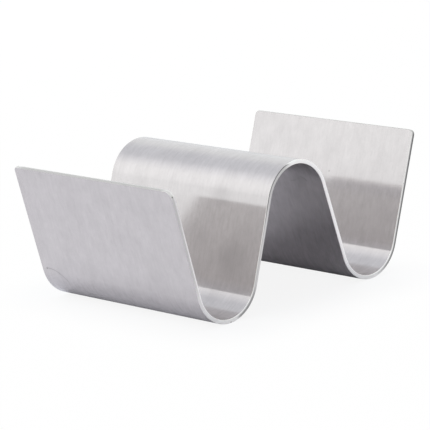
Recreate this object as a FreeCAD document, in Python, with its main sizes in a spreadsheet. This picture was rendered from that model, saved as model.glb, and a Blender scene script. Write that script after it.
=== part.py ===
import FreeCAD, Part
import math
import os

import Sketcher
from FreeCAD import Placement, Rotation, Vector

# Taco holder: one stainless sheet bent into a wave. Two round-bottomed valleys each hold a taco,
# the hump between them parts the two, and a flange leans outwards at the front and at the back.
# X runs from the front flange to the back one, Y along the bends, and Z up.
# The origin is on the table, midway between the lowest lines of the two valleys.
# Lengths are in millimetres and angles in degrees.

NODE = "bent_sheet"

# Driving sizes: name, value and what it measures
SIZES = (
    ("sheet_thickness", 1.5, "thickness of the stainless sheet"),
    ("holder_depth", 80.0, "length of the bends, from one cut side of the sheet to the other"),
    ("crown_height", 51.0, "from the table to the top of the hump"),
    ("valley_pitch", 73.7, "from the lowest line of one valley to that of the other"),
    ("valley_radius", 13.5, "inside radius of the bend that makes a valley"),
    ("hump_radius", 13.9, "inside radius of the bend that makes the hump"),
    ("flange_length", 60.0, "flat sheet from a valley's lowest line to the end of its flange"),
    ("front_lean", 14.6, "how far the front flange leans out from upright"),
    ("back_lean", 18.3, "how far the back flange leans out from upright"),
    ("corner_radius", 3.2, "radius of the four outer corners of the sheet"),
    ("edge_radius", 0.2, "rounding of the deburred edges"),
)

# Curves of one skin of the sheet, in order from front to back
FRONT_FLANGE, FRONT_VALLEY, FRONT_LEG, HUMP, BACK_LEG, BACK_VALLEY, BACK_FLANGE = range(7)

# How a sketch numbers the points of a curve, its own origin and its upright axis
START, END, CENTRE = 1, 2, 3
ORIGIN, UPRIGHT = -1, -2

# Where each curve of a skin meets the next one
JOINS = (
    (FRONT_FLANGE, START, FRONT_VALLEY, START),
    (FRONT_VALLEY, END, FRONT_LEG, START),
    (FRONT_LEG, END, HUMP, END),
    (HUMP, START, BACK_LEG, START),
    (BACK_LEG, END, BACK_VALLEY, START),
    (BACK_VALLEY, END, BACK_FLANGE, START),
)

FRONT, BACK = -1, 1
SAME_PLACE = 0.001


def make_sizes(doc):
    """The sheet of driving sizes, one row each, with the value's cell named."""
    sheet = doc.addObject("Spreadsheet::Sheet", "sizes")
    for row, (name, number, meaning) in enumerate(SIZES, 1):
        sheet.set("A%d" % row, name)
        sheet.set("B%d" % row, str(number))
        sheet.set("C%d" % row, meaning)
        sheet.setAlias("B%d" % row, name)
    doc.recompute()
    return sheet


def bend_centres(size):
    """Centres of the front valley, the hump and the back valley, in the plane of the profile."""
    half_pitch = size["valley_pitch"] / 2
    valley_height = size["valley_radius"] + size["sheet_thickness"]
    hump_height = size["crown_height"] - size["hump_radius"] - size["sheet_thickness"]
    return (
        Vector(-half_pitch, valley_height),
        Vector(0, hump_height),
        Vector(half_pitch, valley_height),
    )


def leg_slope(size):
    """Angle of the legs from upright, in radians.

    A leg is the straight line that passes the valley's bend on one side and the hump's on the
    other. Seen square to the leg, the two centres are the sum of the radii apart.
    """
    _, hump, valley = bend_centres(size)
    span = valley - hump
    apart = size["valley_radius"] + size["hump_radius"] + size["sheet_thickness"]
    return math.acos(apart / span.Length) - math.atan2(-span.y, span.x)


def flange_straight(size, lean):
    """Straight part of a flange: its flat length less the quarter bend, measured mid-sheet."""
    mid_radius = size["valley_radius"] + size["sheet_thickness"] / 2
    return size["flange_length"] - mid_radius * math.radians(90 - lean)


def arc(centre, radius, first, last):
    """An arc about a centre, anticlockwise between two angles in radians."""
    return Part.ArcOfCircle(Part.Circle(centre, Vector(0, 0, 1), radius), first, last)


def flange_line(size, centre, radius, lean, side):
    """The flange from where the valley's bend ends, up to its end."""
    slope = math.radians(lean)
    foot = centre + Vector(side * math.cos(slope), -math.sin(slope)) * radius
    upwards = Vector(side * math.sin(slope), math.cos(slope))
    return Part.LineSegment(foot, foot + upwards * flange_straight(size, lean))


def skin_curves(size, below):
    """The seven curves of one skin, which lies the given distance below the upper skin."""
    valley_radius = size["valley_radius"] + below
    hump_radius = size["hump_radius"] + size["sheet_thickness"] - below
    front, hump, back = bend_centres(size)
    slope = leg_slope(size)
    front_lean = math.radians(size["front_lean"])
    back_lean = math.radians(size["back_lean"])
    to_front = Vector(-math.cos(slope), math.sin(slope))
    to_back = Vector(math.cos(slope), math.sin(slope))
    front_leg = Part.LineSegment(front - to_front * valley_radius, hump + to_front * hump_radius)
    back_leg = Part.LineSegment(hump + to_back * hump_radius, back - to_back * valley_radius)
    return [
        flange_line(size, front, valley_radius, size["front_lean"], FRONT),
        arc(front, valley_radius, math.pi + front_lean, 2 * math.pi - slope),
        front_leg,
        arc(hump, hump_radius, slope, math.pi - slope),
        back_leg,
        arc(back, valley_radius, math.pi + slope, 2 * math.pi - back_lean),
        flange_line(size, back, valley_radius, size["back_lean"], BACK),
    ]


def add_skin(sketch, size, below):
    """Draws one skin, makes each curve tangent to the next and returns its first number."""
    first = sketch.GeometryCount
    for curve in skin_curves(size, below):
        sketch.addGeometry(curve, False)
    for one, one_end, other, other_end in JOINS:
        sketch.addConstraint(
            Sketcher.Constraint("Tangent", first + one, one_end, first + other, other_end)
        )
    return first


def add_end(sketch, upper, lower, flange):
    """Closes the profile square across the end of a flange and returns the line's number."""
    number = sketch.GeometryCount
    near = sketch.getPoint(upper + flange, END)
    far = sketch.getPoint(lower + flange, END)
    sketch.addGeometry(Part.LineSegment(near, far), False)
    sketch.addConstraint(
        [
            Sketcher.Constraint("Coincident", number, START, upper + flange, END),
            Sketcher.Constraint("Coincident", number, END, lower + flange, END),
            Sketcher.Constraint("Perpendicular", number, upper + flange),
            Sketcher.Constraint("Perpendicular", number, lower + flange),
        ]
    )
    return number


def add_shared_centres(sketch, upper, lower):
    """Gives both skins the same three centres, the valleys' mirrored about the hump's."""
    for bend in (FRONT_VALLEY, HUMP, BACK_VALLEY):
        sketch.addConstraint(
            Sketcher.Constraint("Coincident", upper + bend, CENTRE, lower + bend, CENTRE)
        )
    front, back = upper + FRONT_VALLEY, upper + BACK_VALLEY
    sketch.addConstraint(
        [
            Sketcher.Constraint("Symmetric", front, CENTRE, back, CENTRE, UPRIGHT),
            Sketcher.Constraint("PointOnObject", upper + HUMP, CENTRE, UPRIGHT),
            Sketcher.Constraint("Equal", upper + FRONT_VALLEY, upper + BACK_VALLEY),
            Sketcher.Constraint("Equal", lower + FRONT_VALLEY, lower + BACK_VALLEY),
        ]
    )


def add_dimension(sketch, name, kind, places, value, formula):
    """One dimension of the sketch, tied to the sheet of sizes by a formula."""
    number = sketch.addConstraint(Sketcher.Constraint(kind, *places, value))
    sketch.renameConstraint(number, name)
    sketch.setExpression("Constraints." + name, formula)


def add_dimensions(sketch, size, upper, lower):
    """Every size of the profile, each from the sheet of sizes."""
    front, hump, back = bend_centres(size)
    valley, crown = upper + FRONT_VALLEY, upper + HUMP
    thickness = size["sheet_thickness"]
    valley_outside = "sizes.valley_radius + sizes.sheet_thickness"
    hump_outside = "sizes.hump_radius + sizes.sheet_thickness"
    straight = (
        "sizes.flange_length - (sizes.valley_radius + sizes.sheet_thickness / 2)"
        " * (90 - sizes.%s) * pi / 180"
    )
    add_dimension(sketch, "valley_inside", "Radius", [valley], size["valley_radius"],
                  "sizes.valley_radius")
    add_dimension(sketch, "valley_outside", "Radius", [lower + FRONT_VALLEY],
                  size["valley_radius"] + thickness, valley_outside)
    add_dimension(sketch, "hump_inside", "Radius", [lower + HUMP], size["hump_radius"],
                  "sizes.hump_radius")
    add_dimension(sketch, "hump_outside", "Radius", [crown],
                  size["hump_radius"] + thickness, hump_outside)
    add_dimension(sketch, "pitch", "DistanceX", [valley, CENTRE, upper + BACK_VALLEY, CENTRE],
                  back.x - front.x, "sizes.valley_pitch")
    add_dimension(sketch, "valley_height", "DistanceY", [ORIGIN, START, valley, CENTRE],
                  front.y, valley_outside)
    add_dimension(sketch, "hump_height", "DistanceY", [ORIGIN, START, crown, CENTRE],
                  hump.y, "sizes.crown_height - (%s)" % hump_outside)
    add_dimension(sketch, "front_lean", "Angle", [upper + FRONT_FLANGE],
                  math.radians(90 + size["front_lean"]), "90 + sizes.front_lean")
    add_dimension(sketch, "back_lean", "Angle", [upper + BACK_FLANGE],
                  math.radians(90 - size["back_lean"]), "90 - sizes.back_lean")
    add_dimension(sketch, "front_straight", "Distance", [upper + FRONT_FLANGE],
                  flange_straight(size, size["front_lean"]), straight % "front_lean")
    add_dimension(sketch, "back_straight", "Distance", [upper + BACK_FLANGE],
                  flange_straight(size, size["back_lean"]), straight % "back_lean")


def draw_profile(body, size):
    """The bent sheet seen along its bends, and the middles of its two flange ends."""
    sketch = body.newObject("Sketcher::SketchObject", "profile")
    plane = next(item for item in body.Origin.OriginFeatures if item.Role == "XZ_Plane")
    sketch.AttachmentSupport = (plane, [""])
    sketch.MapMode = "FlatFace"
    upper = add_skin(sketch, size, 0)
    lower = add_skin(sketch, size, size["sheet_thickness"])
    ends = [add_end(sketch, upper, lower, flange) for flange in (FRONT_FLANGE, BACK_FLANGE)]
    add_shared_centres(sketch, upper, lower)
    add_dimensions(sketch, size, upper, lower)
    sketch.Document.recompute()
    if not sketch.FullyConstrained:
        raise RuntimeError("the profile isn't fully constrained")
    middles = [(sketch.getPoint(end, START) + sketch.getPoint(end, END)) / 2 for end in ends]
    return sketch, middles


def pad_profile(body, sketch):
    """The wave at its full depth, half to each side of the profile's plane."""
    pad = body.newObject("PartDesign::Pad", "wave")
    pad.Profile = sketch
    pad.SideType = "Symmetric"
    pad.setExpression("Length", "sizes.holder_depth")
    body.Document.recompute()
    return pad


def lies_at_end(middle, ends):
    """Whether a middle point, seen along the bends, is that of a flange's end."""
    return any(
        abs(middle.x - end.x) < SAME_PLACE and abs(middle.z - end.y) < SAME_PLACE
        for end in ends
    )


def corner_edges(shape, ends):
    """Names of the four short edges at the corners of the sheet."""
    return [
        "Edge%d" % number
        for number, edge in enumerate(shape.Edges, 1)
        if lies_at_end(edge.CenterOfMass, ends)
    ]


def is_rim(face, ends):
    """Whether a face is part of the cut rim: a side, a flange's end or a rounded corner."""
    first_u, last_u, first_v, last_v = face.ParameterRange
    outwards = face.normalAt((first_u + last_u) / 2, (first_v + last_v) / 2)
    return abs(outwards.y) > SAME_PLACE or lies_at_end(face.CenterOfMass, ends)


def outline_edges(shape, ends):
    """Names of the edges where a skin of the sheet meets the cut rim."""
    names = []
    for number, edge in enumerate(shape.Edges, 1):
        rims = [is_rim(face, ends) for face in shape.ancestorsOfType(edge, Part.Face)]
        if rims.count(True) == 1:
            names.append("Edge%d" % number)
    return names


def round_edges(body, name, base, edges, formula):
    """Rounds the named edges of a feature, with a radius from the sheet of sizes."""
    fillet = body.newObject("PartDesign::Fillet", name)
    fillet.Base = (base, edges)
    fillet.setExpression("Radius", formula)
    body.Document.recompute()
    return fillet


def make_bent_sheet(doc, size):
    """The whole holder: the wave, its four rounded corners and its deburred edges."""
    body = doc.addObject("PartDesign::Body", NODE)
    body.Label = NODE
    sketch, ends = draw_profile(body, size)
    pad = pad_profile(body, sketch)
    corners = round_edges(
        body, "corners", pad, corner_edges(pad.Shape, ends), "sizes.corner_radius"
    )
    round_edges(
        body, "deburring", corners, outline_edges(corners.Shape, ends), "sizes.edge_radius"
    )
    body.Placement = Placement(Vector(0, 0, 0), Rotation())
    doc.recompute()
    return body


def check_model(doc, body):
    """Stops before anything is written if a feature failed or the solid isn't sound."""
    for item in doc.Objects:
        if {"Invalid", "Error"} & set(item.State):
            raise RuntimeError("%s failed: %s" % (item.Label, item.State))
    if body.Shape.isNull() or not body.Shape.isValid() or len(body.Shape.Solids) != 1:
        raise RuntimeError("%s isn't one valid solid" % body.Label)


def write_step(body):
    """The finished solid, in a file named after it."""
    os.makedirs("parts", exist_ok=True)
    body.Shape.exportStep(os.path.join("parts", body.Label + ".step"))
    box = body.Shape.BoundBox
    print("%s: %.2f x %.2f x %.2f mm, %.1f cubic mm, lowest %.3f" % (
        body.Label, box.XLength, box.YLength, box.ZLength, body.Shape.Volume, box.ZMin))


def main():
    doc = FreeCAD.newDocument("taco_holder")
    make_sizes(doc)
    size = {name: number for name, number, meaning in SIZES}
    sheet = make_bent_sheet(doc, size)
    check_model(doc, sheet)
    write_step(sheet)


main()
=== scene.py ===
import math

import bpy
import numpy as np
from bpy.props import FloatProperty, FloatVectorProperty, PointerProperty
from mathutils import Matrix, Vector


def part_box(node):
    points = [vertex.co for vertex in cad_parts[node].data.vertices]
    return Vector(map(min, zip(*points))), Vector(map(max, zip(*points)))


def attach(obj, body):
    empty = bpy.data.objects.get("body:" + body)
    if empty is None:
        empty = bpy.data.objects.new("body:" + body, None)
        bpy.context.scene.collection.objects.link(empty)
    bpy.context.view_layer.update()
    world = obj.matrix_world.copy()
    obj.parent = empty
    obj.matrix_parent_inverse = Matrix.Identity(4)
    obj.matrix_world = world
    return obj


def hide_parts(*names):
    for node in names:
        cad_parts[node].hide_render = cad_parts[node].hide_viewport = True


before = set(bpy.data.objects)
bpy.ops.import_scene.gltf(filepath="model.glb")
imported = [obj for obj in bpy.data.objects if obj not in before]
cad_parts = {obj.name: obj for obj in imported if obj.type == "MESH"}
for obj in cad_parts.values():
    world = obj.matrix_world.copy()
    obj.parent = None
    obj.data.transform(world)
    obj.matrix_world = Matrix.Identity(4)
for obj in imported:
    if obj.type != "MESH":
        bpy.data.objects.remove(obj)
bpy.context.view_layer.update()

bl_info = {
    "name": "Taco holder",
    "version": (1, 0, 0),
    "blender": (4, 5, 0),
    "location": "3D View > Sidebar > Taco holder",
    "description": "A taco holder bent from one brushed stainless sheet, on a pale studio floor",
    "category": "Object",
}

# The solid that the sheet stands for, the body that carries it and the finish it takes
NODE = "bent_sheet"
BODY = "root"
SLOT = "brushed_sheet"

NODE_LOW, NODE_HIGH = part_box(NODE)
MILLIMETRE = 0.001

# The hump's number among the wave's stretches
HUMP = 3

# How finely the sheet is divided
STRAIGHT_ROWS = 10
BEND_ROWS = 80
CORNER_ROWS = 12
COLUMNS = 61
EDGE_STEPS = 5

# Layout of the sheet's flat map: how many metres of sheet one unit of it spans, where the upper
# skin, the lower skin and the two halves of the rim start across it, and where all start along it
MAP_SPAN = 0.35
MAP_UPPER = 0.02
MAP_LOWER = 0.27
MAP_RIMS = (0.52, 0.54)
MAP_MARGIN = 0.02

# The names of that map and of the mark that the rim's faces carry
MAP_NAME = "flat_sheet"
RIM_NAME = "rim"

# A box may differ from the solid's by this much
BOX_SLACK = 0.0003

# Radii of the sheet's corners in millimetres: near and far at the front, near and far at the back
CORNER_RADII = (3.2, 1.4, 1.9, 2.0)

# The line along the cut rim where the sheet broke off the blade, partly a painted shade: a dark
# reflection in the rounded edge, painted into the rim's colour. Half its width in metres, the share
# of the light that it takes away where it's strongest, and the shares of its half width
# that it fades between
BREAK_SHADE_LINE_WIDTH = 0.24 * MILLIMETRE
BREAK_SHADE_LINE_DARK = 0.92
BREAK_SHADE_LINE_SOFT = (0.5, 1.2)

# How far that line's middle is from the upper skin, the tone of the rim before the line and
# beyond it, and the line's strength, each at a place along the strip; lengths in millimetres.
# These tones and strengths are painted light and shade, set place by place along the strip, and
# the bright band before the line is partly a painted highlight.
BREAK_SHADE_LINE_PLACE = (
    (-127, 0.75), (-64, 0.75), (-50, 0.6), (-30, 0.55), (-22, 0.32), (-5.5, 0.25), (-2, 0.75),
    (127, 0.75),
)
SHORN_AND_HIGHLIGHT_TONE = (
    (-130.5, 0.72), (-128.5, 0.88), (-125, 0.88), (-123, 0.80), (-116, 0.80), (-106, 0.9),
    (-82, 1.0), (-60, 1.0), (-48, 0.77), (-30, 0.84), (-20, 1.0), (76, 1.0), (84, 0.85),
    (124, 0.80), (127, 0.6),
)
BROKEN_AND_SHADE_TONE = (
    (-130.5, 0.60), (-128.5, 0.76), (-126.5, 0.76), (-123, 0.60), (-95, 0.62), (-80, 0.94),
    (-64, 1.0), (-62, 0.46), (-53, 0.46), (-49, 0.72), (-28, 0.76), (-20, 0.66), (-6, 0.64),
    (-2, 0.95), (58, 1.0), (70, 0.97), (76, 0.40), (82, 0.26), (125.6, 0.20), (127.4, 0.60),
)
BREAK_SHADE_LINE_STRENGTH = (
    (-127, 0.0), (-66, 0.0), (-60, 0.2), (-50, 0.15), (-30, 0.35), (-23, 0.7), (-5.5, 0.85),
    (-3, 0.0), (60, 0.0), (84, 0.3), (124, 0.4), (127, 0.0),
)

# Small dark marks: the map's part, the place along and across the strip, and the radius, in
# millimetres, and how dark the mark is. On the rim the second place is the one through the sheet.
DOTS = (
    ("lower", -87.1, 37.3, 0.45, 0.5),
    ("upper", 107.9, -2.9, 0.40, 0.5),
    ("rim", -125.1, 1.1, 0.30, 0.75),
    ("rim", -66.8, 1.4, 0.35, 0.5),
)

# Scratches that are arcs: the map's part, the circle's centre and radius, the middle of the
# scratch, how far it reaches from there, its half width, all in millimetres, and how dark it is
SCRATCHES = (
    ("lower", (-76.5, 36.3), 10.7, (-86.1, 31.7), 5.8, 0.20, 0.30),
    ("lower", (20.5, -29.0), 4.0, (17.0, -31.0), 2.2, 0.25, 0.28),
    ("lower", (12.0, -24.0), 7.0, (18.6, -26.5), 2.6, 0.22, 0.22),
)

# Soft smudges: the map's part, the place along and across and the radius, in millimetres, and
# how dark the smudge is
SMUDGES = (
    ("upper", -20.5, -16.8, 4.5, 0.20),
    ("upper", -42.0, -27.5, 9.0, 0.22),
    ("upper", -55.0, -23.0, 5.0, 0.16),
    ("upper", -37.0, -11.0, 5.0, 0.10),
    ("lower", 17.5, -29.0, 3.5, 0.26),
    ("lower", -98.0, -24.0, 8.0, 0.05),
)

# Where a dot, the end of a scratch and a smudge start to fade and where they are gone, as shares
# of their radius or reach
DOT_SOFT = (0.3, 1.2)
SCRATCH_SOFT = (0.7, 1.1)
SMUDGE_SOFT = (0.2, 1.2)

# The patterns of the brushed finish: how wide and how long their marks are, in millimetres
PATTERNS = {
    "hairlines": (0.25, 14), "strokes": (0.9, 6), "mottles": (2.6, 4.6), "clouds": (8, 12),
}

# How detailed the patterns are, and how strong each finer detail is beside the coarser one
PATTERN_DETAIL = 3.0
PATTERN_FINE = 0.6

# What each pattern changes, from its least to its most: the shade, the roughness and the haze of
# the skins, and the shade of the rim. The strokes' shade is deeper where the clouds are high.
SHADE_CHANGES = {"hairlines": 0.08, "mottles": 0.12, "clouds": 0.16}
STROKE_SHADE = 0.11
STROKE_DEPTH = 2.0
ROUGHNESS_CHANGES = {"clouds": 0.02, "mottles": 0.02, "strokes": 0.02}
HAZE_CHANGES = {"mottles": 0.14, "strokes": 0.06}
RIM_CHANGES = {"strokes": 0.15}

# The share of the haze that the rim lacks, and how deep a full hairline is
RIM_CLEAR = 0.8
HAIRLINE_DEPTH = 0.02 * MILLIMETRE


class TacoHolderSheet(bpy.types.PropertyGroup):
    """Sizes of the bent sheet."""

    thickness: FloatProperty(
        name="Thickness", description="Thickness of the stainless sheet",
        default=1.5 * MILLIMETRE, min=0, unit="LENGTH", precision=4)
    depth: FloatProperty(
        name="Depth", description="Length of the bends, between the two cut sides",
        default=NODE_HIGH.y - NODE_LOW.y, min=0, unit="LENGTH", precision=4)
    crown_height: FloatProperty(
        name="Crown height", description="From the table to the top of the hump",
        default=51.0 * MILLIMETRE, min=0, unit="LENGTH", precision=4)
    pitch: FloatProperty(
        name="Valley pitch", description="From the lowest line of one valley to the other's",
        default=73.7 * MILLIMETRE, min=0, unit="LENGTH", precision=4)
    valley_radius: FloatProperty(
        name="Valley radius", description="Inside radius of the valleys' bends",
        default=13.5 * MILLIMETRE, min=0, unit="LENGTH", precision=4)
    hump_radius: FloatProperty(
        name="Hump radius", description="Inside radius of the hump's bend",
        default=13.9 * MILLIMETRE, min=0, unit="LENGTH", precision=4)
    flange_length: FloatProperty(
        name="Flange length", description="Flat sheet from a valley's lowest line to its end",
        default=60.0 * MILLIMETRE, min=0, unit="LENGTH", precision=4)
    front_lean: FloatProperty(
        name="Front lean", description="How far the front flange leans out from upright",
        default=math.radians(14.6), subtype="ANGLE")
    back_lean: FloatProperty(
        name="Back lean", description="How far the back flange leans out from upright",
        default=math.radians(18.3), subtype="ANGLE")
    corner_radii: FloatVectorProperty(
        name="Corner radii",
        description="Radii of the outer corners: front near and far, then back near and far",
        default=[radius * MILLIMETRE for radius in CORNER_RADII], size=4, min=0,
        unit="LENGTH", precision=4)
    edge_radius: FloatProperty(
        name="Edge radius", description="Rounding of the deburred edges",
        default=0.2 * MILLIMETRE, min=0, unit="LENGTH", precision=5)


class TacoHolderFinish(bpy.types.PropertyGroup):
    """Finish of the brushed stainless steel."""

    steel: FloatVectorProperty(
        name="Steel", description="Colour of the brushed skins",
        default=(0.620, 0.585, 0.577), min=0, max=1, subtype="COLOR")
    # The rim's colour; the tones that scale it hold painted highlights and painted shade
    cut_edge: FloatVectorProperty(
        name="Cut edge", description="Colour of the bright band of the deburred rim",
        default=(1.0, 0.963, 0.925), min=0, max=1, subtype="COLOR")
    roughness: FloatProperty(
        name="Roughness", description="How soft reflections are on the brushed skins",
        default=0.10, min=0, max=1, subtype="FACTOR")
    edge_roughness: FloatProperty(
        name="Edge roughness", description="How soft reflections are on the rim",
        default=0.45, min=0, max=1, subtype="FACTOR")
    wear: FloatProperty(
        name="Wear", description="How plain the scratches, dots and smudges are",
        default=1.0, min=0, max=1, subtype="FACTOR")
    brushing: FloatProperty(
        name="Brushing", description="How much wider reflections smear across the grain",
        default=0.86, min=0, max=1, subtype="FACTOR")
    haze: FloatProperty(
        name="Haze", description="Share of the light that the fine scratches scatter widely",
        default=0.36, min=0, max=1, subtype="FACTOR")
    haze_roughness: FloatProperty(
        name="Haze roughness", description="How widely the fine scratches scatter light",
        default=0.5, min=0, max=1, subtype="FACTOR")
    grain_relief: FloatProperty(
        name="Grain relief", description="Depth of the hairlines",
        default=0.10, min=0, max=1, subtype="FACTOR")


class TacoHolderStage(bpy.types.PropertyGroup):
    """Floor, lamps, surround and camera."""

    floor: FloatVectorProperty(
        name="Floor", description="Colour of the pale floor",
        default=(0.72, 0.725, 0.78), min=0, max=1, subtype="COLOR")
    overhead_light: FloatVectorProperty(
        name="Overhead light", description="Light that comes from straight above",
        default=(0.843, 0.887, 0.949), min=0, max=2, subtype="COLOR")
    low_light: FloatVectorProperty(
        name="Low light", description="Light that the surround gives low down",
        default=(1.066, 1.112, 1.134), min=0, max=2, subtype="COLOR")
    side_light: FloatProperty(
        name="Side light", description="What the long soft light on the front side adds",
        default=0.34, min=0)
    near_level: FloatProperty(
        name="Near side level",
        description="Share of the surround's light that reaches the floor from the near side",
        default=0.1, min=0, max=1, subtype="FACTOR")
    end_level: FloatProperty(
        name="End level",
        description="Share of the surround's light that the steel mirrors past either cut end",
        default=0.65, min=0, max=1, subtype="FACTOR")
    lamp: FloatProperty(
        name="Lamp", description="Power of the large soft lamp overhead",
        default=1.6, min=0, unit="POWER")
    low_lamp: FloatProperty(
        name="Low lamp", description="Power of the soft lamp low on the far side",
        default=8.0, min=0, unit="POWER")
    lens: FloatProperty(
        name="Lens", description="Focal length of the camera on a 36 mm wide frame",
        default=217.34, min=1, unit="CAMERA")


class Wave:
    """The middle of the sheet as a curve in the XZ plane.

    It is a chain of stretches, each straight or bent evenly: flange, valley, leg, hump, leg,
    valley, flange. The heading turns in proportion to the distance along a bent stretch, so the
    place there is the start plus the difference of the headings' sines over the curvature, and
    of their cosines for the height. Distance is counted from the crown of the hump.
    """

    def __init__(self, sizes):
        half = sizes.thickness / 2
        valley = sizes.valley_radius + half
        hump = sizes.hump_radius + half
        rise = sizes.crown_height - half - hump - valley - half
        span = math.hypot(sizes.pitch / 2, rise)
        slope = math.acos((valley + hump) / span) - math.atan2(rise, sizes.pitch / 2)
        leg = math.sqrt(span ** 2 - (valley + hump) ** 2)
        front_turn = math.pi - sizes.front_lean - slope
        back_turn = math.pi - sizes.back_lean - slope
        quarter = math.pi / 2
        self.lengths = np.array([
            sizes.flange_length - valley * (quarter - sizes.front_lean),
            valley * front_turn, leg, hump * (math.pi - 2 * slope), leg, valley * back_turn,
            sizes.flange_length - valley * (quarter - sizes.back_lean),
        ])
        self.curvatures = np.array([0, 1 / valley, 0, -1 / hump, 0, 1 / valley, 0])
        turns = np.cumsum(self.lengths * self.curvatures)
        self.headings = np.concatenate([[0], turns]) + sizes.front_lean - quarter
        self.starts = np.concatenate([[0], np.cumsum(self.lengths)])
        self.starts -= self.starts[HUMP] + self.lengths[HUMP] / 2
        steps = [self.step(number, length) for number, length in enumerate(self.lengths)]
        self.places = np.concatenate([np.zeros((1, 2)), np.cumsum(steps, axis=0)])
        x, z, _ = self.place(np.zeros(1))
        self.places += [-x[0], sizes.crown_height - half - z[0]]

    def step(self, number, distance):
        """How far a distance along one stretch leads in X and up."""
        first, bend = self.headings[number], self.curvatures[number]
        straight = bend == 0
        last = first + bend * distance
        even = np.where(straight, 1, bend)
        ahead = np.where(straight, distance * np.cos(first), (np.sin(last) - np.sin(first)) / even)
        up = np.where(straight, distance * np.sin(first), (np.cos(first) - np.cos(last)) / even)
        return np.stack([ahead, up], axis=-1)

    def place(self, along):
        """X, Z and heading at distances along the sheet."""
        number = np.searchsorted(self.starts, along, side="right") - 1
        number = np.clip(number, 0, len(self.lengths) - 1)
        distance = along - self.starts[number]
        x, z = (self.places[number] + self.step(number, distance)).T
        return x, z, self.headings[number] + self.curvatures[number] * distance


def bent(wave, along, across, above):
    """Places on the bent sheet: the wave's place, carried across in Y and out along its normal."""
    x, z, heading = (part.reshape(np.shape(along)) for part in wave.place(np.ravel(along)))
    return np.stack([x - np.sin(heading) * above, across + 0 * x, z + np.cos(heading) * above], -1)


def bent_direction(wave, along, forward, sideways, outward):
    """Directions on the bent sheet: parts along the wave, in Y and along the wave's normal."""
    _, _, heading = (part.reshape(np.shape(along)) for part in wave.place(np.ravel(along)))
    ahead = np.cos(heading) * forward - np.sin(heading) * outward
    up = np.sin(heading) * forward + np.cos(heading) * outward
    return np.stack([ahead, sideways + 0 * heading, up], -1)


def blank_rows(wave, sizes):
    """Rows across the flat blank, inside its rounded edge: places along, half widths and turns.

    The half widths and turns are for the near side, then the far side. Near an end the rows step
    by angle round the widest corner's centre. In a corner the sine of the turn is 1 less the
    distance from the end over the radius, and the half width loses the radius less its cosine's
    part.
    """
    inset = sizes.edge_radius
    wide = sizes.depth / 2 - inset
    radii = np.reshape(sizes.corner_radii, (2, 2)) - inset
    steps = radii.max() * (1 - np.sin(np.linspace(math.pi / 2, 0, CORNER_ROWS)))
    low, high = wave.starts[0] + inset, wave.starts[-1] - inset
    counts = np.where(wave.curvatures == 0, STRAIGHT_ROWS, BEND_ROWS)
    ends = np.clip(wave.starts, low + radii.max(), high - radii.max())
    middle = [np.linspace(a, b, n, endpoint=False) for a, b, n in zip(ends, ends[1:], counts)]
    along = np.concatenate([low + steps, np.concatenate(middle)[1:], high - steps[::-1]])
    half, turn = [], []
    for front, back in radii.T:
        front_turn = np.arcsin(np.clip(1 - (along - low) / front, 0, 1))
        back_turn = np.arcsin(np.clip(1 - (high - along) / back, 0, 1))
        half.append(wide - front * (1 - np.cos(front_turn)) - back * (1 - np.cos(back_turn)))
        turn.append(back_turn - front_turn)
    return along, np.array(half), np.array(turn)


def blank_outline(rows, columns):
    """Row and column numbers round the grid's border, from the middle of the front end.

    The way round is front end, near side, back end, far side: anticlockwise from above.
    """
    middle, last_row, last_column = columns // 2, rows - 1, columns - 1
    near = np.arange(rows)
    towards_near = np.arange(middle, 0, -1)
    towards_far = np.arange(1, last_column)
    row = np.concatenate([
        np.zeros(len(towards_near)), near, np.full(len(towards_far), last_row),
        near[::-1], np.zeros(last_column - middle - 1)])
    column = np.concatenate([
        towards_near, np.zeros(rows), towards_far, np.full(rows, last_column),
        np.arange(last_column - 1, middle, -1)])
    return row.astype(int), column.astype(int)


def edge_section(sizes):
    """Across the rim: how far out, how far above the middle, and the normal's rise.

    A quarter round off the upper skin, the cut face and a quarter round on to the lower skin.
    """
    radius = sizes.edge_radius
    turn = np.linspace(0, math.pi / 2, EDGE_STEPS)
    out = radius * np.sin(turn)
    above = sizes.thickness / 2 - radius * (1 - np.cos(turn))
    rise = math.pi / 2 - turn
    return (
        np.concatenate([out, out[::-1]]),
        np.concatenate([above, -above[::-1]]),
        np.concatenate([rise, -rise[::-1]]),
    )


def quads(corner_a, corner_b, corner_c, corner_d):
    """Four arrays of corners as rows of one array."""
    return np.stack([corner_a, corner_b, corner_c, corner_d], -1).reshape(-1, 4)


def grid_quads(grid):
    """Quads of a grid of numbers, turning from the first direction to the second."""
    return quads(grid[:-1, :-1], grid[1:, :-1], grid[1:, 1:], grid[:-1, 1:])


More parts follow.
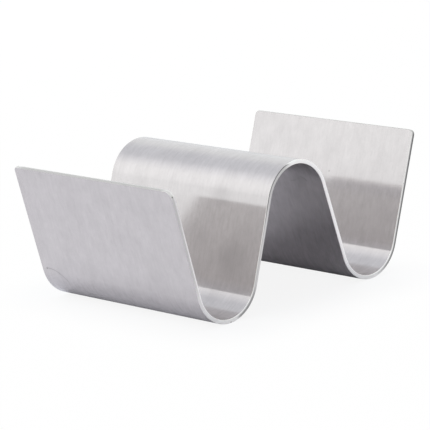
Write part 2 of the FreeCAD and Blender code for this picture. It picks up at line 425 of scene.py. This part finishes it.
def sheet_shape(wave, sizes):
    """Vertices, normals, faces, map places and rim faces of the whole sheet.

    The flat blank is a grid of rows and columns, laid on the wave half a thickness above and
    below its middle. The rim is the edge section carried round the blank's outline.
    """
    along, half, turn = blank_rows(wave, sizes)
    rows = np.repeat(along[:, None], COLUMNS, axis=1)
    across = np.linspace(-half[0], half[1], COLUMNS).T
    row, column = blank_outline(*rows.shape)
    out, above, rise = edge_section(sizes)
    ring_along, ring_across = rows[row, column], across[row, column]
    far = column == COLUMNS - 1
    on_side = far | (column == 0)
    side_turn = turn[far.astype(int), row]
    lead = np.where(on_side, np.sin(side_turn), np.where(row == 0, -1, 1))
    lateral = np.where(on_side, np.where(far, 1, -1) * np.cos(side_turn), 0)
    inner = slice(1, -1)
    rim_along = ring_along + lead * out[inner, None]
    rim_across = ring_across + lateral * out[inner, None]
    rim_above = above[inner, None] + 0 * rim_along
    flat = np.cos(rise[inner, None])
    half_thick = sizes.thickness / 2
    vertices = [
        bent(wave, rows, across, half_thick),
        bent(wave, rows, across, -half_thick),
        bent(wave, rim_along, rim_across, rim_above),
    ]
    normals = [
        bent_direction(wave, rows, 0, 0, 1),
        bent_direction(wave, rows, 0, 0, -1),
        bent_direction(wave, rim_along, lead * flat, lateral * flat, np.sin(rise[inner, None])),
    ]
    upper = np.arange(rows.size).reshape(rows.shape)
    lower = upper + rows.size
    rings = np.arange(rim_along.size).reshape(rim_along.shape) + 2 * rows.size
    rings = np.concatenate([upper[row, column][None], rings, lower[row, column][None]])
    rings = np.concatenate([rings, rings[:, :1]], axis=1)
    faces = [grid_quads(upper), grid_quads(lower)[:, ::-1], grid_quads(rings)]
    upper_map, lower_map = skin_map(rows, across, MAP_UPPER), skin_map(rows, across, MAP_LOWER)
    places = [
        grid_quads(upper).ravel(), grid_quads(lower)[:, ::-1].ravel() - rows.size,
    ]
    maps = [
        upper_map.reshape(-1, 2)[places[0]], lower_map.reshape(-1, 2)[places[1]],
        rim_map(ring_along, ring_across, out, above),
    ]
    is_rim = np.concatenate([np.zeros(len(faces[0]) + len(faces[1])), np.ones(len(faces[2]))])
    return (
        np.concatenate([part.reshape(-1, 3) for part in vertices]),
        np.concatenate([part.reshape(-1, 3) for part in normals]),
        np.concatenate(faces), np.concatenate(maps), is_rim,
    )


def skin_map(along, across, start):
    """Flat map of a skin: across the strip first, then along it, both at true scale."""
    first = start + (across - across.min()) / MAP_SPAN
    second = MAP_MARGIN + (along - along.min()) / MAP_SPAN
    return np.stack([first, second], -1)


def rim_map(along, across, out, above):
    """Flat map of the rim's two halves: through the sheet first, then round the outline."""
    count = len(along)
    half = count // 2
    ring = np.stack([along, across], -1)
    ring = np.concatenate([ring, ring[:1]])
    round_way = np.concatenate([[0], np.cumsum(np.linalg.norm(np.diff(ring, axis=0), axis=1))])
    section = np.stack([out, above], -1)
    through = np.concatenate([[0], np.cumsum(np.linalg.norm(np.diff(section, axis=0), axis=1))])
    parts = []
    for start, first, last in zip(MAP_RIMS, (0, half), (half, count)):
        way = round_way[first:last + 1] - round_way[first]
        u = start + through[:, None] / MAP_SPAN + 0 * way
        v = MAP_MARGIN + way / MAP_SPAN + 0 * through[:, None]
        parts.append(np.stack([u, v], -1))
    faces = []
    for part in parts:
        number = np.arange(part.shape[0] * part.shape[1]).reshape(part.shape[:2])
        corners = part.reshape(-1, 2)[grid_quads(number).ravel()]
        faces.append(corners.reshape(part.shape[0] - 1, part.shape[1] - 1, 4, 2))
    return np.concatenate(faces, axis=1).reshape(-1, 2)


def make_mesh(name, vertices, normals, faces, places, is_rim):
    """A mesh of quads with its own normals, flat map and rim mark."""
    mesh = bpy.data.meshes.new(name)
    mesh.vertices.add(len(vertices))
    mesh.vertices.foreach_set("co", vertices.ravel())
    mesh.loops.add(faces.size)
    mesh.loops.foreach_set("vertex_index", faces.ravel())
    mesh.polygons.add(len(faces))
    mesh.polygons.foreach_set("loop_start", np.arange(0, faces.size, 4))
    mesh.update(calc_edges=True)
    mesh.polygons.foreach_set("use_smooth", np.ones(len(faces), dtype=bool))
    layer = mesh.uv_layers.new(name=MAP_NAME)
    layer.uv.foreach_set("vector", places.ravel().astype(np.float32))
    mark = mesh.attributes.new(RIM_NAME, "FLOAT", "FACE")
    mark.data.foreach_set("value", is_rim.astype(np.float32))
    mesh.normals_split_custom_set_from_vertices(normals)
    if mesh.validate():
        raise RuntimeError("the mesh %s has faulty faces" % name)
    return mesh


def show(mesh, material):
    """An object at the origin for a mesh, with its material."""
    piece = bpy.data.objects.new(mesh.name, mesh)
    bpy.context.scene.collection.objects.link(piece)
    mesh.materials.append(material)
    return piece


def add(tree, kind, inputs=None, **settings):
    """A shader node of a kind, with its settings, and its inputs set or linked by name."""
    node = tree.nodes.new("ShaderNode" + kind)
    for name, value in settings.items():
        setattr(node, name, value)
    for name, value in (inputs or {}).items():
        socket = node.inputs[name]
        if isinstance(value, bpy.types.NodeSocket):
            tree.links.new(value, socket)
        else:
            socket.default_value = value
    return node


def maths(tree, operation, *values):
    """The result of one sum, each value a number or a socket."""
    node = tree.nodes.new("ShaderNodeMath")
    node.operation = operation
    for socket, value in zip(node.inputs, values):
        if isinstance(value, bpy.types.NodeSocket):
            tree.links.new(value, socket)
        else:
            socket.default_value = value
    return node.outputs[0]


def new_tree(name):
    """A material with only its output, and its node tree."""
    material = bpy.data.materials.new(name)
    material.use_nodes = True
    material.node_tree.nodes.clear()
    return material, material.node_tree


def streaks(tree, flat, wide, long):
    """Noise drawn out along the strip: so wide and so long, in millimetres, from 0 to 1."""
    stretch = add(tree, "VectorMath", operation="MULTIPLY")
    tree.links.new(flat, stretch.inputs[0])
    span = MAP_SPAN / MILLIMETRE
    stretch.inputs[1].default_value = (span / wide, span / long, 0)
    noise = add(tree, "TexNoise", {
        "Vector": stretch.outputs[0], "Scale": 1.0, "Detail": PATTERN_DETAIL,
        "Roughness": PATTERN_FINE,
    }, noise_dimensions="2D")
    return noise.outputs[0]


def centred(tree, value, size):
    """A 0 to 1 pattern turned to plus or minus half a size."""
    return maths(tree, "MULTIPLY", maths(tree, "SUBTRACT", value, 0.5), size)


def varied(tree, value, patterns, changes):
    """A value, and what each of some patterns adds to it or takes away."""
    for name, change in changes.items():
        value = maths(tree, "ADD", value, centred(tree, patterns[name], change))
    return value


def skin_place(part, along, across, wave, sizes):
    """Where a place on a skin, or on the near rim, lies on the flat map.

    The place is given in millimetres, along and across the strip. On the rim the second is the
    distance through the sheet from the upper skin, and the first is counted round the outline
    as if the rounded corner were laid out straight.
    """
    along, across = along * MILLIMETRE, across * MILLIMETRE
    if part == "rim":
        return (MAP_RIMS[0] + across / MAP_SPAN,
                MAP_MARGIN + (along - rim_start(wave, sizes)) / MAP_SPAN, 0)
    first = {"upper": MAP_UPPER, "lower": MAP_LOWER}[part]
    inset = sizes.edge_radius
    return (first + (across + sizes.depth / 2 - inset) / MAP_SPAN,
            MAP_MARGIN + (along - wave.starts[0] - inset) / MAP_SPAN, 0)


def rim_start(wave, sizes):
    """Place along the strip that the rim's map starts at, with the corner laid out straight.

    It is the end of the sheet, less half the end's straight part and the corner's quarter round,
    and more by the corner's radius.
    """
    near, far = sizes.corner_radii[:2]
    half_straight = (sizes.depth - near - far) / 2
    corner = (near - sizes.edge_radius) * math.pi / 2
    return wave.starts[0] + near - half_straight - corner


def graph(tree, value, points):
    """A line graph of a value in metres through points: places in millimetres, and heights."""
    low, high = points[0][0], points[-1][0]
    share = add(tree, "MapRange", {
        "Value": value, "From Min": low * MILLIMETRE, "From Max": high * MILLIMETRE,
    })
    curve = add(tree, "ValToRGB", {"Fac": share.outputs[0]})
    elements = curve.color_ramp.elements
    while len(elements) < len(points):
        elements.new(0.5)
    for element, (place, height) in zip(elements, points):
        element.position = (place - low) / (high - low)
        element.color = (height, height, height, 1)
    return curve.outputs[0]


def ramp(tree, value, places, levels):
    """The first level up to the first place, changing smoothly to the second at the second."""
    return add(tree, "MapRange", {
        "Value": value, "From Min": places[0], "From Max": places[1],
        "To Min": levels[0], "To Max": levels[1],
    }, interpolation_type="SMOOTHSTEP").outputs[0]


def fade(tree, value, near, far):
    """1 up to the near value, falling smoothly to 0 at the far one."""
    return ramp(tree, value, (near, far), (1.0, 0.0))


def distance_from(tree, flat, place):
    """Distance in metres from a place on the flat map."""
    node = add(tree, "VectorMath", operation="DISTANCE")
    tree.links.new(flat, node.inputs[0])
    node.inputs[1].default_value = place
    return maths(tree, "MULTIPLY", node.outputs["Value"], MAP_SPAN)


def spot(tree, flat, place, radius, soft):
    """1 in the middle of a spot on the flat map, gone past its radius, which is in millimetres."""
    start, end = (share * radius * MILLIMETRE for share in soft)
    return fade(tree, distance_from(tree, flat, place), start, end)


def worn(tree, flat, patches, wave, sizes):
    """How much light the marks of use take away: dots, arc scratches and blotchy smudges."""
    marks = []
    for part, along, across, radius, dark in DOTS:
        place = skin_place(part, along, across, wave, sizes)
        marks.append(maths(tree, "MULTIPLY", spot(tree, flat, place, radius, DOT_SOFT), dark))
    for part, centre, radius, middle, reach, width, dark in SCRATCHES:
        away = distance_from(tree, flat, skin_place(part, *centre, wave, sizes))
        off = maths(tree, "ABSOLUTE", maths(tree, "SUBTRACT", away, radius * MILLIMETRE))
        line = fade(tree, off, 0.0, width * 2 * MILLIMETRE)
        place = skin_place(part, *middle, wave, sizes)
        line = maths(tree, "MULTIPLY", line, spot(tree, flat, place, reach, SCRATCH_SOFT))
        marks.append(maths(tree, "MULTIPLY", line, dark))
    for part, along, across, radius, dark in SMUDGES:
        place = skin_place(part, along, across, wave, sizes)
        smudge = maths(tree, "MULTIPLY", spot(tree, flat, place, radius, SMUDGE_SOFT), patches)
        marks.append(maths(tree, "MULTIPLY", smudge, dark))
    total = marks[0]
    for mark in marks[1:]:
        total = maths(tree, "MAXIMUM", total, mark)
    return total


def rim_tone_and_painted_light(tree, flat, wave, sizes):
    """Tone across the cut rim, with painted light and shade: a bright band that is partly a painted
    highlight, a dark line that is partly a painted dark reflection, then a band whose grey changes
    along the strip as painted shade.

    Distance through the sheet comes from the map's first part, and the place along the strip
    from its second, which runs the other way on the far half.
    """
    parts = add(tree, "SeparateXYZ", {"Vector": flat}).outputs
    far_half = maths(tree, "GREATER_THAN", parts["X"], sum(MAP_RIMS) / 2)
    first = maths(tree, "MULTIPLY_ADD", far_half, MAP_RIMS[1] - MAP_RIMS[0], MAP_RIMS[0])
    through = maths(tree, "MULTIPLY", maths(tree, "SUBTRACT", parts["X"], first), MAP_SPAN)
    way = maths(tree, "MULTIPLY", maths(tree, "SUBTRACT", parts["Y"], MAP_MARGIN), MAP_SPAN)
    along = maths(tree, "ADD", way, rim_start(wave, sizes))
    along = maths(tree, "MULTIPLY", along, maths(tree, "MULTIPLY_ADD", far_half, -2.0, 1.0))
    middle = maths(tree, "MULTIPLY", graph(tree, along, BREAK_SHADE_LINE_PLACE), MILLIMETRE)
    past = maths(tree, "SUBTRACT", through, middle)
    shorn_and_highlight = fade(tree, past, -BREAK_SHADE_LINE_WIDTH, BREAK_SHADE_LINE_WIDTH)
    tone = add(tree, "Mix", {
        "Factor": shorn_and_highlight, "A": graph(tree, along, BROKEN_AND_SHADE_TONE), "B": graph(tree, along, SHORN_AND_HIGHLIGHT_TONE),
    }).outputs["Result"]
    off = maths(tree, "ABSOLUTE", past)
    line = fade(tree, off, *(BREAK_SHADE_LINE_WIDTH * share for share in BREAK_SHADE_LINE_SOFT))
    line = maths(tree, "MULTIPLY", line, graph(tree, along, BREAK_SHADE_LINE_STRENGTH))
    return maths(tree, "MULTIPLY", tone, maths(tree, "MULTIPLY_ADD", line, -BREAK_SHADE_LINE_DARK, 1.0))


def scaled(tree, colour, share):
    """A fixed colour times a share."""
    node = add(tree, "VectorMath", operation="SCALE")
    node.inputs[0].default_value = colour
    tree.links.new(share, node.inputs["Scale"])
    return node.outputs[0]


def brushed_steel(finish, wave, sizes):
    """Brushed stainless steel, with its cut rim, whose tone holds painted highlights and shade, and
    its marks of use.

    Hairlines, short strokes and soft mottles, all drawn out along the strip, change its shade,
    its roughness and the share of its haze.
    """
    material, tree = new_tree(SLOT)
    flat = add(tree, "UVMap", uv_map=MAP_NAME).outputs[0]
    rim = add(tree, "Attribute", attribute_name=RIM_NAME).outputs["Fac"]
    patterns = {name: streaks(tree, flat, *size) for name, size in PATTERNS.items()}
    depth = maths(tree, "MULTIPLY", patterns["clouds"], STROKE_DEPTH)
    strokes = maths(tree, "MULTIPLY", centred(tree, patterns["strokes"], STROKE_SHADE), depth)
    shade = varied(tree, maths(tree, "ADD", strokes, 1.0), patterns, SHADE_CHANGES)
    marks = worn(tree, flat, patterns["mottles"], wave, sizes)
    kept = maths(tree, "SUBTRACT", 1.0, maths(tree, "MULTIPLY", marks, finish.wear))
    skin = scaled(tree, finish.steel, maths(tree, "MULTIPLY", shade, kept))
    # The rim's tone carries painted highlights and painted shade along the strip
    tone = maths(tree, "MULTIPLY", rim_tone_and_painted_light(tree, flat, wave, sizes), kept)
    tone = maths(tree, "MULTIPLY", tone, varied(tree, 1.0, patterns, RIM_CHANGES))
    colour = add(tree, "Mix", data_type="RGBA")
    tree.links.new(rim, colour.inputs["Factor"])
    tree.links.new(skin, colour.inputs["A"])
    tree.links.new(scaled(tree, finish.cut_edge, tone), colour.inputs["B"])
    rough = add(tree, "Mix", {
        "Factor": rim, "A": varied(tree, finish.roughness, patterns, ROUGHNESS_CHANGES),
        "B": finish.edge_roughness,
    }).outputs["Result"]
    hazing = varied(tree, finish.haze, patterns, HAZE_CHANGES)
    hazing = maths(tree, "MULTIPLY", hazing, maths(tree, "MULTIPLY_ADD", rim, -RIM_CLEAR, 1.0))
    relief = add(tree, "Bump", {
        "Strength": finish.grain_relief, "Distance": HAIRLINE_DEPTH,
        "Height": patterns["hairlines"],
    })
    tangent = add(tree, "Tangent", direction_type="UV_MAP", uv_map=MAP_NAME)
    clear = add(tree, "BsdfPrincipled", {
        "Base Color": colour.outputs["Result"], "Metallic": 1.0, "Roughness": rough,
        "Anisotropic": finish.brushing, "Tangent": tangent.outputs[0],
        "Normal": relief.outputs[0],
    })
    hazy = add(tree, "BsdfPrincipled", {
        "Base Color": colour.outputs["Result"], "Metallic": 1.0,
        "Roughness": finish.haze_roughness, "Normal": relief.outputs[0],
    })
    steel = add(tree, "MixShader", {"Fac": hazing})
    tree.links.new(clear.outputs[0], steel.inputs[1])
    tree.links.new(hazy.outputs[0], steel.inputs[2])
    add(tree, "OutputMaterial", {"Surface": steel.outputs[0]})
    return material


def check_box(piece):
    """Stops if the sheet's box isn't the solid's."""
    places = np.empty(len(piece.data.vertices) * 3)
    piece.data.vertices.foreach_get("co", places)
    places = places.reshape(-1, 3)
    low, high = places.min(axis=0), places.max(axis=0)
    if max(np.abs(low - NODE_LOW).max(), np.abs(high - NODE_HIGH).max()) > BOX_SLACK:
        raise RuntimeError("the sheet's box is %s to %s" % (low, high))


class TACOHOLDER_OT_sheet(bpy.types.Operator):
    """Make the bent sheet in brushed stainless steel"""

    bl_idname = "taco_holder.sheet"
    bl_label = "Bent sheet"

    def execute(self, context):
        sizes = context.scene.taco_holder_sheet
        wave = Wave(sizes)
        shape = sheet_shape(wave, sizes)
        material = brushed_steel(context.scene.taco_holder_finish, wave, sizes)
        piece = show(make_mesh("bent_brushed_sheet", *shape), material)
        check_box(piece)
        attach(piece, BODY)
        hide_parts(NODE)
        return {"FINISHED"}


# The camera's place in metres, its aim in degrees (clockwise from +Y, up, and tilt), and the width
# of its frame in millimetres
CAMERA_PLACE = (-0.64721, -0.65550, 0.23488)
CAMERA_YAW = 44.550
CAMERA_PITCH = -12.759
CAMERA_ROLL = -3.129
FRAME_WIDTH = 36.0

# The floor: how far it reaches each way and how far it lies under the holder, in metres, and the
# colour of its white as the steel mirrors it
FLOOR_REACH = 4.0
FLOOR_DROP = 0.00005
FLOOR_MIRRORED = (0.946, 0.970, 1.037)

# Half the rectangle between the lines that the holder stands on, how far from it the floor is at
# its whitest, how white that is, and how much of the shadow is taken off where it's seen straight.
# The floor is greyer nearer that rectangle and under it: a painted shade on top of its shadow.
STANDING = (0.037, 0.040, 0.0)
FLOOR_FADE = (0.038, 0.035, 1.0)
FLOOR_WHITE = 0.95
FLOOR_VEIL = 0.88

# The lamps' places and the lengths of their sides, in metres
LAMP_PLACE = (0.0, 0.0, 1.3)
LAMP_SIZE = 1.4
LOW_LAMP_PLACE = (0.5, 0.9, 0.22)
LOW_LAMP_SIZE = 0.35

# The sine of the angle up from level, seen along the bends, that the overhead light starts at
OVERHEAD_FROM = 0.7

# The low light's share at the horizon, and the sine of the angle up from level that it's full at
HORIZON_LEVEL = 0.8
HORIZON_REACH = 0.3

# The long side light, seen along the bends: its angle up from +X, and the cosine at its edge
SIDE_ANGLE = math.radians(136)
SIDE_REACH = 0.75

# Between these Y parts of its direction the light that the floor gets grows to its full level,
# and between these, towards either cut end, the light that the steel mirrors falls off
NEAR_SIDE = (-0.8, 0.1)
ENDS = (0.75, 1.0)


def add_camera(stage):
    """The camera, aimed by yaw, pitch and roll."""
    data = bpy.data.cameras.new("camera")
    data.lens = stage.lens
    data.sensor_width = FRAME_WIDTH
    camera = bpy.data.objects.new("camera", data)
    yaw, pitch, roll = map(math.radians, (CAMERA_YAW, CAMERA_PITCH, CAMERA_ROLL))
    forward = Vector((math.cos(pitch) * math.sin(yaw), math.cos(pitch) * math.cos(yaw),
                      math.sin(pitch)))
    level = forward.cross(Vector((0, 0, 1))).normalized()
    upright = level.cross(forward)
    right = level * math.cos(roll) + upright * math.sin(roll)
    up = upright * math.cos(roll) - level * math.sin(roll)
    turn = Matrix((right, up, -forward)).transposed().to_4x4()
    camera.matrix_world = Matrix.Translation(CAMERA_PLACE) @ turn
    bpy.context.scene.collection.objects.link(camera)
    bpy.context.scene.camera = camera


def floor_material(stage):
    """Pale matt floor, whiter with distance from the holder, whose shadow it keeps; being greyer
    round and under the holder, it carries a painted shade on top of that shadow.

    The distance is from the rectangle between the two lines that the holder stands on: what is
    left of a place's distance from the middle, in X and in Y, when half the rectangle is taken
    off, each as a share of its own reach. Seen straight, the shadow is lightened too.
    """
    material, tree = new_tree("pale_floor")
    matt = add(tree, "BsdfDiffuse", {"Color": (*stage.floor, 1)})
    path = add(tree, "LightPath").outputs
    tint = add(tree, "Mix", data_type="RGBA")
    tree.links.new(path["Is Glossy Ray"], tint.inputs["Factor"])
    tint.inputs["A"].default_value = (1, 1, 1, 1)
    tint.inputs["B"].default_value = (*FLOOR_MIRRORED, 1)
    white = add(tree, "Emission", {"Color": tint.outputs["Result"], "Strength": 1.0})
    place = add(tree, "TexCoord").outputs["Object"]
    for operation, value in (
        ("ABSOLUTE", None), ("SUBTRACT", STANDING), ("MAXIMUM", (0, 0, 0)),
        ("DIVIDE", FLOOR_FADE),
    ):
        step = add(tree, "VectorMath", operation=operation)
        tree.links.new(place, step.inputs[0])
        if value is not None:
            step.inputs[1].default_value = value
        place = step.outputs[0]
    distance = add(tree, "VectorMath", operation="LENGTH")
    tree.links.new(place, distance.inputs[0])
    # The white fades out towards the holder: a painted shade round and under it
    reach = ramp(tree, distance.outputs["Value"], (0.0, 1.0), (0.0, FLOOR_WHITE))
    seen = maths(tree, "MAXIMUM", path["Is Camera Ray"], path["Is Glossy Ray"])
    seen = maths(tree, "MAXIMUM", seen, path["Is Transmission Ray"])
    unveiled = maths(tree, "MULTIPLY_ADD", path["Is Camera Ray"], -FLOOR_VEIL, 1.0)
    matt_share = maths(tree, "MULTIPLY", maths(tree, "SUBTRACT", 1.0, reach), unveiled)
    share = maths(tree, "MULTIPLY", seen, maths(tree, "SUBTRACT", 1.0, matt_share))
    both = add(tree, "MixShader")
    tree.links.new(share, both.inputs[0])
    tree.links.new(matt.outputs[0], both.inputs[1])
    tree.links.new(white.outputs[0], both.inputs[2])
    add(tree, "OutputMaterial", {"Surface": both.outputs[0]})
    return material


def add_floor(stage):
    """A large level floor just under the holder."""
    mesh = bpy.data.meshes.new("floor")
    reach = FLOOR_REACH
    corners = [(-reach, -reach), (reach, -reach), (reach, reach), (-reach, reach)]
    mesh.from_pydata([(x, y, -FLOOR_DROP) for x, y in corners], [], [(0, 1, 2, 3)])
    floor = show(mesh, floor_material(stage))


def add_world(stage):
    """A pale surround: lighter low down than overhead, with a long soft light on one side.

    Seen along the holder's bends, a direction has an angle up from level. The low light gives
    way to the overhead light as the sine of that angle grows, and the side light is added
    within a cone about its own angle. All of it is dimmer at the horizon. For the floor the side
    of the near cut ends is darker, and for the steel only what lies straight past either cut
    end. Seen straight, the surround is white.
    """
    world = bpy.data.worlds.new("studio")
    world.use_nodes = True
    tree = world.node_tree
    tree.nodes.clear()
    ray = add(tree, "TexCoord").outputs["Generated"]
    flat = add(tree, "VectorMath", operation="MULTIPLY")
    tree.links.new(ray, flat.inputs[0])
    flat.inputs[1].default_value = (1, 0, 1)
    seen = add(tree, "VectorMath", operation="NORMALIZE")
    tree.links.new(flat.outputs[0], seen.inputs[0])
    rise = add(tree, "SeparateXYZ", {"Vector": seen.outputs[0]}).outputs["Z"]
    overhead = ramp(tree, maths(tree, "ABSOLUTE", rise), (OVERHEAD_FROM, 1.0), (0.0, 1.0))
    surround = add(tree, "Mix", data_type="RGBA")
    tree.links.new(overhead, surround.inputs["Factor"])
    surround.inputs["A"].default_value = (*stage.low_light, 1)
    surround.inputs["B"].default_value = (*stage.overhead_light, 1)
    towards = add(tree, "VectorMath", operation="DOT_PRODUCT")
    tree.links.new(seen.outputs[0], towards.inputs[0])
    towards.inputs[1].default_value = (math.cos(SIDE_ANGLE), 0, math.sin(SIDE_ANGLE))
    glow = ramp(tree, towards.outputs["Value"], (SIDE_REACH, 1.0), (0.0, stage.side_light))
    level = add(tree, "VectorMath", operation="ADD")
    tree.links.new(surround.outputs["Result"], level.inputs[0])
    tree.links.new(glow, level.inputs[1])
    sideways = add(tree, "SeparateXYZ", {"Vector": ray}).outputs["Y"]
    path = add(tree, "LightPath").outputs
    cast = ramp(tree, sideways, NEAR_SIDE, (stage.near_level, 1.0))
    mirrored = ramp(tree, maths(tree, "ABSOLUTE", sideways), ENDS, (1.0, stage.end_level))
    either = add(tree, "Mix", {"Factor": path["Is Glossy Ray"], "A": cast, "B": mirrored})
    risen = ramp(tree, maths(tree, "ABSOLUTE", rise), (0.0, HORIZON_REACH), (HORIZON_LEVEL, 1.0))
    strength = maths(tree, "MULTIPLY", either.outputs["Result"], risen)
    light = add(tree, "Background", {"Color": level.outputs[0], "Strength": strength})
    white = add(tree, "Background", {"Color": (1, 1, 1, 1), "Strength": 1.0})
    both = add(tree, "MixShader", {"Fac": path["Is Camera Ray"]})
    tree.links.new(light.outputs[0], both.inputs[1])
    tree.links.new(white.outputs[0], both.inputs[2])
    add(tree, "OutputWorld", {"Surface": both.outputs[0]})
    bpy.context.scene.world = world


def add_lamp(name, place, size, power):
    """A square lamp aimed at the holder, which lights the floor and isn't mirrored in the steel."""
    data = bpy.data.lights.new(name, "AREA")
    data.shape = "SQUARE"
    data.size = size
    data.energy = power
    lamp = bpy.data.objects.new(name, data)
    lamp.location = place
    lamp.rotation_euler = Vector(place).to_track_quat("Z", "Y").to_euler()
    lamp.visible_glossy = False
    bpy.context.scene.collection.objects.link(lamp)


def add_lamps(stage):
    """A large soft lamp overhead, and a low one that shines in under the hump from the far side."""
    add_lamp("overhead_lamp", LAMP_PLACE, LAMP_SIZE, stage.lamp)
    add_lamp("low_lamp", LOW_LAMP_PLACE, LOW_LAMP_SIZE, stage.low_lamp)


class TACOHOLDER_OT_stage(bpy.types.Operator):
    """Make the floor, the lamps, the surround and the camera"""

    bl_idname = "taco_holder.stage"
    bl_label = "Stage"

    def execute(self, context):
        stage = context.scene.taco_holder_stage
        add_camera(stage)
        add_floor(stage)
        add_world(stage)
        add_lamps(stage)
        context.scene.view_settings.view_transform = "Standard"
        return {"FINISHED"}


class VIEW3D_PT_taco_holder(bpy.types.Panel):
    """Sizes, finish and stage of the taco holder"""

    bl_label = "Taco holder"
    bl_space_type = "VIEW_3D"
    bl_region_type = "UI"
    bl_category = "Taco holder"

    def draw(self, context):
        scene = context.scene
        for group, title, operator in (
            (scene.taco_holder_sheet, "Sheet", TACOHOLDER_OT_sheet),
            (scene.taco_holder_finish, "Finish", None),
            (scene.taco_holder_stage, "Stage", TACOHOLDER_OT_stage),
        ):
            box = self.layout.box()
            box.label(text=title)
            for name in group.__annotations__:
                box.prop(group, name)
            if operator:
                box.operator(operator.bl_idname)


CLASSES = (
    TacoHolderSheet, TacoHolderFinish, TacoHolderStage,
    TACOHOLDER_OT_sheet, TACOHOLDER_OT_stage, VIEW3D_PT_taco_holder,
)


def register():
    for item in CLASSES:
        bpy.utils.register_class(item)
    bpy.types.Scene.taco_holder_sheet = PointerProperty(type=TacoHolderSheet)
    bpy.types.Scene.taco_holder_finish = PointerProperty(type=TacoHolderFinish)
    bpy.types.Scene.taco_holder_stage = PointerProperty(type=TacoHolderStage)


def unregister():
    del bpy.types.Scene.taco_holder_stage
    del bpy.types.Scene.taco_holder_finish
    del bpy.types.Scene.taco_holder_sheet
    for item in reversed(CLASSES):
        bpy.utils.unregister_class(item)


def main():
    register()
    bpy.ops.taco_holder.sheet()
    bpy.ops.taco_holder.stage()


if __name__ == "__main__":
    main()
